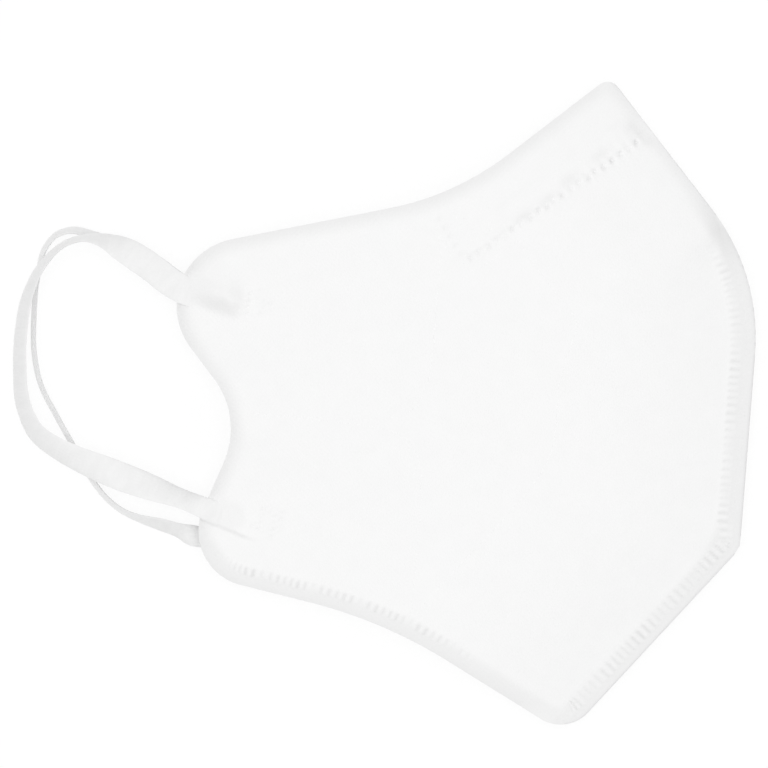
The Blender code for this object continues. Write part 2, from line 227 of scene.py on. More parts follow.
def droop(points):
    """How far the ear lobes sink below the crown."""
    to_tip = np.maximum(-points[:, 0] - LOBE_SETBACK, 0) / LOBE_LENGTH
    to_lobe = smooth(np.abs(points[:, 1] + EAR_MIDDLE_DROP) / EAR_HALF_SPAN)
    return LOBE_DROOP * to_tip**LOBE_POWER * to_lobe


def base_height(points):
    """Height of one half's plain puffed form above the fold plane."""
    return FOLD_HEIGHT + crown(seam_inset(points)[0]) - droop(points)


def crowded(count):
    """Shares from 0 to 1 that lie closer together near both ends."""
    even = np.linspace(0, 1, count + 1)
    return even - GRID_CROWDING * np.sin(math.tau * even) / math.tau


def unit_grid(columns, rows):
    """A flat grid, one unit long and wide, round the origin."""
    mesh = bmesh.new()
    bmesh.ops.create_grid(mesh, x_segments=columns, y_segments=rows, size=0.5)
    return mesh


def grid_line(coordinate, count):
    """Which line of a unit grid, of count steps, a coordinate lies on."""
    return round((coordinate + 0.5) * count)


def flat_half(grid, ends, hem_to_top=(0.0, 1.0), ear_start=0.0):
    """A flat mesh of one half, each row of which ends where ends, a rule for its points, turns true."""
    columns, rows = grid
    mesh = unit_grid(columns, rows)
    row_shares = hem_to_top[0] + (hem_to_top[1] - hem_to_top[0]) * crowded(rows)
    low, high = np.full(rows + 1, ear_start), np.ones(rows + 1)
    for _ in range(BISECTIONS):
        middle = (low + high) / 2
        past = ends(plan(middle, row_shares))
        low, high = np.where(past, low, middle), np.where(past, middle, high)
    column_shares = ear_start + np.outer(high - ear_start, crowded(columns))
    places = plan(column_shares, np.repeat(row_shares[:, None], columns + 1, axis=1))
    for vert in mesh.verts:
        row = grid_line(vert.co.y, rows)
        column = grid_line(vert.co.x, columns)
        vert.co = (*places[row, column], 0.0)
    return mesh


def thicken(mesh, outer, inner):
    """Closes a flat mesh into the right half's sheet, between two heights above the fold plane."""
    bmesh.ops.solidify(mesh, geom=mesh.faces[:], thickness=FACES_APART)
    points = np.array([vert.co for vert in mesh.verts])
    is_inner = np.abs(points[:, 2]) > FACES_APART / 2
    heights = np.zeros(len(points))
    heights[is_inner] = inner(points[is_inner, :2])
    heights[~is_inner] = outer(points[~is_inner, :2])
    for vert, height in zip(mesh.verts, heights):
        vert.co.z = FOLD_Z + height
    bmesh.ops.recalc_face_normals(mesh, faces=mesh.faces[:])


def mirrored(mesh):
    """A copy of the right half's mesh for the left half."""
    copy = mesh.copy()
    to_fold = Matrix.Translation((0.0, 0.0, -FOLD_Z))
    bmesh.ops.scale(copy, vec=(1.0, 1.0, -1.0), space=to_fold, verts=copy.verts[:])
    bmesh.ops.reverse_faces(copy, faces=copy.faces[:])
    return copy


def add_piece(name, mesh, material):
    """A named object from a finished mesh."""
    data = bpy.data.meshes.new(name)
    mesh.to_mesh(data)
    mesh.free()
    data.shade_smooth()
    data.set_sharp_from_angle(angle=SHARP_ANGLE)
    data.materials.append(material)
    piece = bpy.data.objects.new(name, data)
    bpy.context.scene.collection.objects.link(piece)
    return piece


def node(tree, kind, inputs, **settings):
    """A shader node with its settings, and with a value or an incoming link for each input."""
    made = tree.nodes.new("ShaderNode" + kind)
    for key, value in settings.items():
        setattr(made, key, value)
    for key, value in inputs.items():
        if isinstance(value, bpy.types.NodeSocket):
            tree.links.new(value, made.inputs[key])
        else:
            made.inputs[key].default_value = value
    return made


def slot_colour(slot):
    """Base colour that the record gives a material slot."""
    return next(entry["base_color"] for entry in frame["record"]["materials"] if entry["slot"] == slot)


def mottled(tree, coords, colour, cloud_size, depth):
    """A colour that dips a little where the fibres lie thinner."""
    clouds = node(tree, "TexNoise", {
        "Vector": coords, "Scale": 1 / cloud_size, "Detail": CLOUD_DETAIL})
    ramp = node(tree, "ValToRGB", {"Fac": clouds.outputs["Fac"]})
    thin, thick = ramp.color_ramp.elements
    thin.position, thick.position = CLOUD_RAMP
    thin.color = (*[channel * (1 - depth) for channel in colour], 1.0)
    thick.color = (*colour, 1.0)
    return ramp.outputs["Color"]


def new_material(name, roughness, metallic=0.0, sheen=0.0):
    """A node material with its shader's even values set; sheen is the glow of its loose fibres."""
    material = bpy.data.materials.new(name)
    material.use_nodes = True
    shader = material.node_tree.nodes["Principled BSDF"]
    shader.inputs["Roughness"].default_value = roughness
    shader.inputs["Metallic"].default_value = metallic
    shader.inputs["Specular IOR Level"].default_value = SPECULAR_LEVEL
    shader.inputs["Sheen Weight"].default_value = sheen
    return material, material.node_tree, shader


def nonwoven(slot, roughness, fibre_size, bond_pitch, bond_depth, bump, cloud_size, cloud_depth,
             pressed_and_shade_darkening=0.0):
    """Matted white fibres, spot-bonded on a slanting lattice, and greyed by one attribute: by the welds'
    pressing and by painted shade.
    """
    material, tree, shader = new_material(slot, roughness)
    coords = node(tree, "TexCoord", {}).outputs["Object"]
    fibres = node(tree, "TexNoise", {
        "Vector": coords, "Scale": 1 / fibre_size, "Detail": FIBRE_DETAIL,
        "Roughness": FIBRE_ROUGHNESS, "Distortion": FIBRE_TANGLE})
    turned = node(tree, "Mapping", {"Vector": coords, "Rotation": (0.0, 0.0, BOND_LATTICE_TURN)})
    bonds = node(tree, "TexVoronoi", {
        "Vector": turned.outputs["Vector"], "Scale": 1 / bond_pitch, "Randomness": 0.0},
        voronoi_dimensions="2D")
    pits = node(tree, "MapRange", {
        "Value": bonds.outputs["Distance"], "From Min": BOND_PIT_EDGE[0], "From Max": BOND_PIT_EDGE[1],
        "To Min": -bond_depth, "To Max": 0.0})
    height = node(tree, "Math", {0: fibres.outputs["Fac"], 1: pits.outputs["Result"]}, operation="ADD")
    relief = node(tree, "Bump", {
        "Height": height.outputs["Value"], "Strength": bump, "Distance": fibre_size})
    # This attribute greys the colour for weld pressing and for painted shade in grooves, creases, hollows
    # and along rims.
    pressed_and_shaded = node(tree, "Attribute", {}, attribute_name="pressed_and_shaded")
    kept = node(tree, "MapRange", {
        "Value": pressed_and_shaded.outputs["Fac"], "To Min": 1.0, "To Max": 1.0 - pressed_and_shade_darkening})
    colour = mottled(tree, coords, slot_colour(slot), cloud_size, cloud_depth)
    shaded = node(tree, "VectorMath", {0: colour, "Scale": kept.outputs["Result"]}, operation="SCALE")
    tree.links.new(shaded.outputs["Vector"], shader.inputs["Base Color"])
    tree.links.new(relief.outputs["Normal"], shader.inputs["Normal"])
    return material


def add_sheet_pair(layer, mesh, material):
    """One sheet of both halves: the left one lies still with the left half; the right one is left
    unattached where it lies.
    """
    left = add_piece(f"left_{layer}_sheet", mirrored(mesh), material)
    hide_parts(f"left_{layer}")
    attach(left, "left_half")
    right = add_piece(f"right_{layer}_sheet", mesh, material)
    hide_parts(f"right_front_{layer}", f"right_cheek_{layer}")
    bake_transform(right)


def inner_sheet(depth, thickness, cut=None):
    """A hidden sheet of the right half at a depth below the puffed form, with a part cut out of it."""
    mesh = flat_half(
        INNER_GRID, lambda points: base_height(points) < INNER_END_HEIGHT, INNER_ROWS, INNER_EAR_START)
    if cut:
        cut(mesh)
    thicken(mesh, lambda points: base_height(points) - depth,
            lambda points: base_height(points) - depth - thickness)
    return mesh


melt_blown = nonwoven(
    "filter_melt_blown", roughness=0.6, fibre_size=0.12 * MM, bond_pitch=2.4 * MM, bond_depth=0.2,
    bump=0.1, cloud_size=8 * MM, cloud_depth=0.02)
filter_sheet = inner_sheet(FILTER_DEPTH, FILTER_THICKNESS)
add_sheet_pair("filter", filter_sheet, melt_blown)

# Prefilter: the thicker hot-air cotton sheet of each half, which keeps the mask's shape and catches
# coarse dust. It is cut away at the nose, where the wire lies in its place.
PREFILTER_DEPTH = 0.85 * MM
PREFILTER_THICKNESS = 0.6 * MM
CUT_MERGE = 0.05 * MM
POCKET_FOLD_END = np.array((38.5, 61.5)) * MM
POCKET_ROW_ANGLE = math.radians(219.4)
POCKET_SIDE_ANGLE = math.radians(125.0)
POCKET_ROW_LENGTH = 51.2 * MM
POCKET_INWARD = np.array([math.cos(POCKET_ROW_ANGLE), math.sin(POCKET_ROW_ANGLE)])
POCKET_UPWARD = np.array([POCKET_INWARD[1], -POCKET_INWARD[0]])
POCKET_ROW_END = POCKET_FOLD_END + POCKET_ROW_LENGTH * POCKET_INWARD


def cut_out_pocket(mesh):
    """Removes what lies above the pocket's row and ahead of its short side."""
    ahead_of_side = np.array([math.sin(POCKET_SIDE_ANGLE), -math.cos(POCKET_SIDE_ANGLE)])
    for normal in (POCKET_UPWARD, ahead_of_side):
        parts = mesh.verts[:] + mesh.edges[:] + mesh.faces[:]
        bmesh.ops.bisect_plane(
            mesh, geom=parts, dist=CUT_MERGE, plane_co=(*POCKET_ROW_END, 0.0), plane_no=(*normal, 0.0))
    offsets = np.array([face.calc_center_median()[:2] for face in mesh.faces]) - POCKET_ROW_END
    inside = (offsets @ POCKET_UPWARD > 0) & (offsets @ ahead_of_side > 0)
    removed = [face for face, out in zip(mesh.faces, inside) if out]
    bmesh.ops.delete(mesh, geom=removed, context="FACES")


cotton = nonwoven(
    "prefilter_cotton", roughness=0.95, fibre_size=0.6 * MM, bond_pitch=6.0 * MM, bond_depth=0.1,
    bump=0.5, cloud_size=3 * MM, cloud_depth=0.06)
prefilter_sheet = inner_sheet(PREFILTER_DEPTH, PREFILTER_THICKNESS, cut_out_pocket)
add_sheet_pair("prefilter", prefilter_sheet, cotton)

# Nose wire: a soft aluminium strip with rounded edges, folded in half over the nose. It lies in its
# pocket between cover and filter, and keeps the bend that the wearer presses into it.
WIRE_WIDTH = 4.0 * MM
WIRE_THICKNESS = 0.6 * MM
WIRE_LEG = 47.0 * MM
WIRE_ABOVE_ROW = 4.5 * MM
WIRE_DEPTH = 1.15 * MM
WIRE_TURN_AT = 1.9 * MM
WIRE_EDGE_ROUND = 0.22 * MM
WIRE_EDGE_STEPS = 3
WIRE_EDGE_ANGLE = math.radians(60)
WIRE_STEPS = 60
WIRE_TURN_STEPS = 12
WIRE_ACROSS = 6
WIRE_ROUGHNESS = 0.4
SATIN_ROUGHNESS = (0.32, 0.5)
ROLLING_LINES = (60.0, 4000.0, 60.0)
ROLLING_DETAIL = 3.0
ROLLING_BUMP = 0.15
ROLLING_DEPTH = 0.05 * MM


def wire_leg(side, first, last):
    """Middle points of the right (1) or left (-1) leg between two distances from the fold."""
    start = POCKET_FOLD_END + POCKET_UPWARD * WIRE_ABOVE_ROW
    points = start + np.outer(np.linspace(first, last, WIRE_STEPS), POCKET_INWARD)
    heights = FOLD_Z + side * np.maximum(base_height(points) - WIRE_DEPTH, WIRE_THICKNESS)
    return np.concatenate([points, heights[:, None]], axis=1)


def wire_strip(middles):
    """A strip of wire along middle points, with thickness and rounded edges."""
    steps = len(middles) - 1
    mesh = unit_grid(steps, WIRE_ACROSS)
    for vert in mesh.verts:
        middle = middles[grid_line(vert.co.x, steps)]
        vert.co = Vector(middle) + Vector((*POCKET_UPWARD, 0.0)) * vert.co.y * WIRE_WIDTH
    bmesh.ops.recalc_face_normals(mesh, faces=mesh.faces[:])
    bmesh.ops.solidify(mesh, geom=mesh.faces[:], thickness=WIRE_THICKNESS)
    rims = [edge for edge in mesh.edges if edge.calc_face_angle(0.0) > WIRE_EDGE_ANGLE]
    bmesh.ops.bevel(
        mesh, geom=rims, offset=WIRE_EDGE_ROUND, segments=WIRE_EDGE_STEPS, profile=0.5,
        affect="EDGES", material=-1)
    bmesh.ops.recalc_face_normals(mesh, faces=mesh.faces[:])
    return mesh


def rolled_aluminium():
    """Soft satin metal with fine rolling lines along the strip."""
    material, tree, shader = new_material("wire_aluminium", WIRE_ROUGHNESS, metallic=1.0)
    coords = node(tree, "TexCoord", {}).outputs["Object"]
    turned = node(tree, "Mapping", {
        "Vector": coords, "Rotation": (0.0, 0.0, -POCKET_ROW_ANGLE), "Scale": ROLLING_LINES})
    lines = node(tree, "TexNoise", {
        "Vector": turned.outputs["Vector"], "Scale": 1.0, "Detail": ROLLING_DETAIL})
    satin = node(tree, "MapRange", {
        "Value": lines.outputs["Fac"], "To Min": SATIN_ROUGHNESS[0], "To Max": SATIN_ROUGHNESS[1]})
    relief = node(tree, "Bump", {
        "Height": lines.outputs["Fac"], "Strength": ROLLING_BUMP, "Distance": ROLLING_DEPTH})
    colour = mottled(tree, coords, slot_colour("wire_aluminium"), cloud_size=3 * MM, depth=0.06)
    tree.links.new(colour, shader.inputs["Base Color"])
    tree.links.new(satin.outputs["Result"], shader.inputs["Roughness"])
    tree.links.new(relief.outputs["Normal"], shader.inputs["Normal"])
    return material


aluminium = rolled_aluminium()
turn_start = wire_leg(1, WIRE_TURN_AT, WIRE_LEG)[0]
turn_radius = turn_start[2] - FOLD_Z
turn_angles = np.linspace(math.pi / 2, -math.pi / 2, WIRE_TURN_STEPS + 1)[1:-1]
turn_plan = turn_start[:2] - turn_radius * np.outer(np.cos(turn_angles), POCKET_INWARD)
turn_points = np.column_stack([turn_plan, FOLD_Z + turn_radius * np.sin(turn_angles)])
bend_start = (turn_start[0] - BEND_X - BEND_REACH) / -POCKET_INWARD[0] + WIRE_TURN_AT
wire_middles = np.concatenate([
    wire_leg(1, bend_start, WIRE_TURN_AT), turn_points, wire_leg(-1, WIRE_TURN_AT, WIRE_LEG)])
folded_wire = add_piece("nose_wire_folded", wire_strip(wire_middles), aluminium)
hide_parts("nose_wire")
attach(folded_wire, "left_half")
wire_end = add_piece("nose_wire_end", wire_strip(wire_leg(1, WIRE_LEG, bend_start)), aluminium)
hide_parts("nose_wire_tail")
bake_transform(wire_end)

# Outer cover: the white spunbond sheet outside each half. It is folded over the nose, welded to the
# other half down the front and under the chin with short ribs, pressed into a hem below, and
# spot-welded along the nose wire's pocket.
COVER_THICKNESS = 0.5 * MM
COVER_FLOOR = 0.01 * MM
COVER_LEAST_HEIGHT = 0.06 * MM
COVER_GRID = (84, 110)
EAR_AND_TOP = np.concatenate([EAR_EDGE, TOP_EDGE[1:]])
FLANGE_HEIGHT = 0.6 * MM
FLANGE_EDGE_ROUND = 0.9 * MM
FLANGE_EDGE_DROP = 0.45 * MM
FOLD_LIP = 0.15 * MM
FOLD_LIP_WIDTH = 0.3 * MM
FOLD_ROLL = 1.35 * MM
FOLD_ROLL_WIDTH = 3.4 * MM
ROLL_FADE = 14.0 * MM
ROLL_RELEASE = 1.6
RELIEF_EASE = 1.0 * MM
RIM_DROP = 1.5 * MM
RIM_WIDTH = 4.5 * MM
HEM_DROP = 1.45 * MM
HEM_WIDTH = 4.3 * MM
RIM_STACK = 0.9 * MM
RIM_EASE = 2.0 * MM
RIB_PITCH = 1.76 * MM
RIB_SHARPNESS = 0.7
# Height, length and start of each wave that shifts the ribs.
RIB_WOBBLE = ((0.12, 3.7 * MM, 0.0), (0.1, 1.9 * MM, 1.3))
# How much a weld's pressing swings along its length, with the length and the start of each wave.
WELD_PRESSING = (0.25, (6.1 * MM, 0.0), (2.7 * MM, 1.0))
FRONT_PATCHES = (0.18, (5.3 * MM, 2.0))
RIB_EASE = 0.8 * MM
RIB_HEIGHT = 0.36 * MM
RIB_CHIN_REACH = (1.4 * MM, 5.2 * MM)
RIB_FRONT_REACH = (2.8 * MM, 6.0 * MM)
RIB_CHIN_START = 1.0 * MM
RIB_CHIN_EASE = 4.0 * MM
JAW_PASSAGE = 8.0 * MM
HEM_RIB_HEIGHT = 0.3 * MM
HEM_RIB_REACH = (2.4 * MM, 5.1 * MM)
HEM_RIB_STAGGER = 0.5 * MM
HEM_RIB_SHARE = 0.66
HEM_RIB_WAVES = ((0.17, 0.9 * MM, 0.0), (0.17, 1.7 * MM, 1.0))
HEM_RIB_X = (-55.0 * MM, -46.0 * MM, -4.0 * MM, 14.0 * MM)
DOT_PITCH = 2.3 * MM
DOT_SIZE = np.array((0.42, 0.6)) * MM
DOT_STRAY = 0.25 * MM
DOT_STRAY_TURNS = (5.1, 3.7)
DOT_DEPTH = 0.55 * MM
DOT_FADING = 0.45
DOT_UNEVEN = 0.35
DOT_UNEVEN_TURNS = (2.1, 1.3)
DOT_START = 3.4 * MM
DOT_ROW_RISE = 1.1 * MM
DOT_ROW_START = POCKET_FOLD_END + DOT_ROW_RISE * POCKET_UPWARD
DOT_ROW_END = DOT_ROW_START + POCKET_ROW_LENGTH * POCKET_INWARD
SIDE_DOT_DEPTH = 0.25
# Each shaded hollow's distance from the fold, and its height above the row.
SHADED_HOLLOWS_MM = ((11.6, 3.7), (20.9, 3.0), (27.2, 2.2), (34.4, 2.2))
SHADED_HOLLOW_SIZE = np.array((2.2, 1.2)) * MM
SHADED_HOLLOW_DEPTH = 0.2 * MM
POCKET_SIDE_LENGTH = 12.2 * MM
POCKET_SIDE_WAY = np.array([math.cos(POCKET_SIDE_ANGLE), math.sin(POCKET_SIDE_ANGLE)])
POCKET_LINE = np.array([DOT_ROW_START, DOT_ROW_END, DOT_ROW_END + POCKET_SIDE_LENGTH * POCKET_SIDE_WAY])
VALLEY_DEPTH = 0.22 * MM
VALLEY_WIDTH = 1.1 * MM
PUCKER_HEIGHT = 0.14 * MM
PUCKER_REACH = 2.2 * MM
WIRE_BULGE = 0.32 * MM
WIRE_BULGE_EDGE = 1.4 * MM
WIRE_LUMPS = (0.25, (3.1 * MM, 0.0), (7.7 * MM, 0.6))
FOLD_DENT = np.array(((34.2, 64.1), (37.4, 61.6))) * MM
FOLD_DENT_DEPTH = 0.5 * MM
FOLD_DENT_WIDTH = 1.7 * MM
# The middle and the radius of each patch of dashes.
PATCHES_MM = ((-48.3, 17.0, 3.7), (-41.8, -31.5, 4.2))
DASH_ANGLE = math.radians(28)
DASH_PITCH = np.array((1.9, 1.25)) * MM
DASH_SIZE = np.array((0.6, 0.3)) * MM
DASH_DEPTH = 0.26 * MM
DASH_UNEVEN_TURNS = (2.3, 4.1)
# Each step's start and end, its height at the start and from the middle on, and its width.
LOOP_END_STEPS_MM = (
    ((-66.0, 17.9), (-51.8, 15.0), (0.3, 1.7), 4.0),
    ((-52.3, 14.4), (-53.3, 20.6), (0.6, 0.3), 3.2),
    ((-58.0, -32.3), (-45.2, -36.4), (0.55, 0.45), 0.9),
)
LOOP_ENTRIES_MM = (((-58.0, 18.0), (-72.0, 22.9)), ((-50.0, -31.6), (-64.0, -27.6)))
LOOP_ENTRY_REACH = (2.2 * MM, 2.0 * MM)
LOOP_ENTRY_SHARE = 0.85
LOOP_END_SOFT = (2.0 * MM, 9.0 * MM)
LOOP_END_FALL = 5.0 * MM
CREASE_START = 0.15
CREASE_EASE = 0.7
CREASE_EDGE = (0.25, 0.75)
# How much painted shade and weld pressing grey the cover's colour, and each place's share: rims, brow,
# hollows, dent, creases and loop entries are painted shade only; flange and hem are both.
PRESSED_AND_SHADE_DARKENING = 0.16
FLANGE_PRESSING_AND_SHADE = 0.5
HEM_PRESSING_AND_SHADE = 0.28
PAINTED_RIM_SHADE = 0.24
PAINTED_BROW_SHADE = 0.5
PAINTED_HOLLOW_SHADE = 0.3
PAINTED_DENT_SHADE = 0.25
PAINTED_CREASE_SHADE = 0.33
PAINTED_ENTRY_SHADE = 0.2
PRESSED_DASH = 0.2
CREST_CLEARING = 0.7
FLANGE_SHADE_ONSET = 3.0
FLANGE_SHADE_REACH = (1.4 * MM, 2.0 * MM)
HEM_SHADE_REACH = (5.0 * MM, 2.0 * MM)
RIM_SHADE_REACH = (4.0 * MM, 3.6 * MM)
# Middle, size and reach of the painted shade at the weld's start below the nose fold.
BROW_WEDGE = np.array((54.9, 41.6)) * MM
BROW_WEDGE_SIZE = 7.0 * MM
BROW_SHADE_REACH = (5.2 * MM, 2.6 * MM)
# How near to a line the mesh is cut finer, and the number of cuts.
SEAM_REFINING = (6.8 * MM, 7)
HEM_REFINING = (5.2 * MM, 4)
POCKET_REFININGS = ((5.0 * MM, 1), (1.4 * MM, 2))
PATCH_MARGIN_MM = 0.6
PATCH_CUTS = 2
LOOP_END_REFINING = (3.2 * MM, 1)


def quarter_round(share):
    """Rises upright from 0 and levels out at 1."""
    return np.sqrt(1 - (1 - np.clip(share, 0, 1)) ** 2)


def eased_rise(share):
    """Rises at a slant from 0 and levels out at 1."""
    return 1 - (1 - np.clip(share, 0, 1)) ** 2


def between(value, reach):
    """1 within a reach, easing to 0 at both of its ends."""
    return smooth((value - reach[0]) / RIB_EASE) * smooth((reach[1] - value) / RIB_EASE)


def near(away, reach):
    """1 near a line, easing to 0 at a distance from it; reach is that distance and the ease before it."""
    distance, ease = reach
    return smooth((distance - away) / ease)


def step_up(away, width):
    """Eases from 0 to 1 across a line, over a width that the line halves."""
    return smooth(away / width + 0.5)


def wavering(place, waves):
    """A sum of waves along a line."""
    return sum(height * np.sin(place / length + start) for height, length, start in waves)


def patchy(place, swing, *waves):
    """A share that dips below 1 here and there along a line, by up to twice the swing."""
    return 1 - swing + swing * math.prod(np.sin(place / length + start) for length, start in waves)


def ribs(place):
    """Rounded ribs along a weld: 1 on their crests, 0 in the grooves between them."""
    turns = place / RIB_PITCH + wavering(place, RIB_WOBBLE)
    return (0.5 + 0.5 * np.cos(math.tau * turns)) ** RIB_SHARPNESS


def weld_strip(points, welded):
    """Where ribs cross the front and chin seams, and how far along: patchy down the front."""
    away, place = nearest(points, RIDGE)
    jaw_place = nearest(corner("jaw")[None], RIDGE)[1]
    front = smooth((place - jaw_place) / JAW_PASSAGE)
    on_chin = between(away, RIB_CHIN_REACH) * smooth((place - RIB_CHIN_START) / RIB_CHIN_EASE)
    on_front = between(away, RIB_FRONT_REACH) * patchy(place, *FRONT_PATCHES)
    pressing = patchy(place, *WELD_PRESSING)
    return (on_chin + (on_front - on_chin) * front) * pressing * welded**2, place


def hem_strip(points):
    """Where short ribs cross the hem, and how far along: they fade out towards the chin."""
    away, place = nearest(points, HEM_EDGE)
    start, full, fading, gone = HEM_RIB_X
    x = points[:, 0]
    stretch = smooth((x - start) / (full - start)) * smooth((gone - x) / (gone - fading))
    uneven = HEM_RIB_SHARE + wavering(place, HEM_RIB_WAVES)
    return between(away + HEM_RIB_STAGGER * uneven, HEM_RIB_REACH) * stretch * uneven, place


def weld_dots(points):
    """Spots that close the nose wire's pocket: uneven along its row, and faint up its short side."""
    dots = []
    for count, place in enumerate(np.arange(DOT_START, POCKET_ROW_LENGTH, DOT_PITCH)):
        inward, upward = np.multiply(DOT_STRAY_TURNS, count)
        stray = POCKET_INWARD * math.sin(inward) + POCKET_UPWARD * math.cos(upward)
        turn, swing = np.multiply(DOT_UNEVEN_TURNS, count)
        uneven = 1 - DOT_UNEVEN + DOT_UNEVEN * math.cos(turn + math.sin(swing))
        depth = (1 - DOT_FADING * place / POCKET_ROW_LENGTH) * uneven
        dots.append((DOT_ROW_START + POCKET_INWARD * place + DOT_STRAY * stray, depth))
    for place in np.arange(DOT_PITCH, POCKET_SIDE_LENGTH, DOT_PITCH):
        dots.append((DOT_ROW_END + POCKET_SIDE_WAY * place, SIDE_DOT_DEPTH))
    pressed_and_shaded = np.zeros(len(points))
    for dot, depth in dots:
        pressed_and_shaded = np.maximum(pressed_and_shaded, depth * np.exp(-(((points - dot) / DOT_SIZE) ** 2).sum(1)))
    return pressed_and_shaded


def pocket_shaded_hollows(points):
    """Spots above the row, where the cover puffs over the wire: shallow hollows, greyed with painted
    shade.
    """
    pressed_and_shaded = np.zeros(len(points))
    for from_fold, above in SHADED_HOLLOWS_MM:
        middle = POCKET_FOLD_END + (POCKET_INWARD * from_fold + POCKET_UPWARD * above) * MM
        offset = np.stack([(points - middle) @ POCKET_INWARD, (points - middle) @ POCKET_UPWARD], axis=1)
        pressed_and_shaded = np.maximum(pressed_and_shaded, np.exp(-((offset / SHADED_HOLLOW_SIZE) ** 2).sum(1)))
    return pressed_and_shaded


def pocket_relief(points):
    """The pocket's outside: its dots, the puckers above them, the wire's bulge and a dent at the fold."""
    valley = np.exp(-(nearest(points, POCKET_LINE)[0] / VALLEY_WIDTH) ** 2)
    from_fold = (points - POCKET_FOLD_END) @ POCKET_INWARD
    above = (points - POCKET_FOLD_END) @ POCKET_UPWARD
    on_row = smooth(from_fold / DOT_START) * smooth((POCKET_ROW_LENGTH - from_fold) / DOT_PITCH)
    above_dots = above - DOT_ROW_RISE
    fading = np.where(above_dots > 0, -above_dots / PUCKER_REACH, above_dots / VALLEY_WIDTH)
    puckers = -np.cos(math.tau * (from_fold - DOT_START) / DOT_PITCH) * np.exp(fading) * on_row
    to_wire_edge = WIRE_WIDTH / 2 - np.abs(above - WIRE_ABOVE_ROW)
    bulge = smooth((to_wire_edge + WIRE_BULGE_EDGE) / WIRE_BULGE_EDGE) * on_row
    bulge *= patchy(from_fold, *WIRE_LUMPS)
    dent = np.exp(-(nearest(points, FOLD_DENT)[0] / FOLD_DENT_WIDTH) ** 2)
    relief = WIRE_BULGE * bulge + PUCKER_HEIGHT * puckers
    relief -= VALLEY_DEPTH * valley * on_row + FOLD_DENT_DEPTH * dent
    return relief - DOT_DEPTH * weld_dots(points) - SHADED_HOLLOW_DEPTH * pocket_shaded_hollows(points)


def patch_dashes(points):
    """Slanting dashes embossed where the ear loops' ends are welded on."""
    cosine, sine = math.cos(DASH_ANGLE), math.sin(DASH_ANGLE)
    turn = np.array([[cosine, -sine], [sine, cosine]])
    row_turn, column_turn = DASH_UNEVEN_TURNS
    pressed_and_shaded = np.zeros(len(points))
    for x, y, radius in PATCHES_MM:
        local = (points - np.array((x, y)) * MM) @ turn
        row = np.round(local[:, 1] / DASH_PITCH[1])
        shift = np.where(row % 2 == 1, DASH_PITCH[0] / 2, 0.0)
        column = np.round((local[:, 0] - shift) / DASH_PITCH[0])
        dash = np.stack([column * DASH_PITCH[0] + shift, row * DASH_PITCH[1]], axis=1)
        depth = np.sin(row_turn * row + column_turn * column) ** 2
        depth *= np.linalg.norm(dash, axis=1) < radius * MM
        pressed_and_shaded += depth * np.exp(-(((local - dash) / DASH_SIZE) ** 2).sum(1))
    return pressed_and_shaded


def loop_end_step(points, start, end):
    """How far plan points lie along and above a step's line, its length, and 1 between its two ends."""
    run = (np.array(end) - np.array(start)) * MM
    length = np.linalg.norm(run)
    way = run / length
    ahead = (points - np.array(start) * MM) @ way
    above = (points - np.array(start) * MM) @ np.array([-way[1], way[0]])
    within = step_up(ahead, LOOP_END_FALL) * (1 - step_up(ahead - length, LOOP_END_FALL))
    return ahead, above, length, within


def loop_end_relief(points):
    """Low swellings over the ear loops' fused ends, with a step at the lower side and at the tip."""
    relief = np.zeros(len(points))
    soft_start, softness = LOOP_END_SOFT
    for start, end, heights, width in LOOP_END_STEPS_MM:
        ahead, above, length, within = loop_end_step(points, start, end)
        rise = within * np.interp(ahead, (0, length / 2), np.array(heights) * MM)
        rise *= step_up(above, width * MM)
        relief += rise * (1 - smooth((above - soft_start) / softness))
    return relief


def loop_end_creases(points):
    """1 down the steps beside the ear loops' fused ends, where the cover is creased and painted shade
    goes.
    """
    creased = np.zeros(len(points))
    full, gone = CREASE_EDGE
    for start, end, _, width in LOOP_END_STEPS_MM:
        ahead, above, length, within = loop_end_step(points, start, end)
        deepening = smooth((ahead / length - CREASE_START) / CREASE_EASE) * within
        across = near(np.abs(above) / (width * MM), (gone, gone - full))
        creased = np.maximum(creased, deepening * across)
    return creased


def loop_entries(points):
    """1 where an ear loop crosses the rim, which stays up to meet it."""
    away = np.min([nearest(points, np.array(entry) * MM)[0] for entry in LOOP_ENTRIES_MM], axis=0)
    start, ease = LOOP_ENTRY_REACH
    return LOOP_ENTRY_SHARE * (1 - smooth((away - start) / ease))


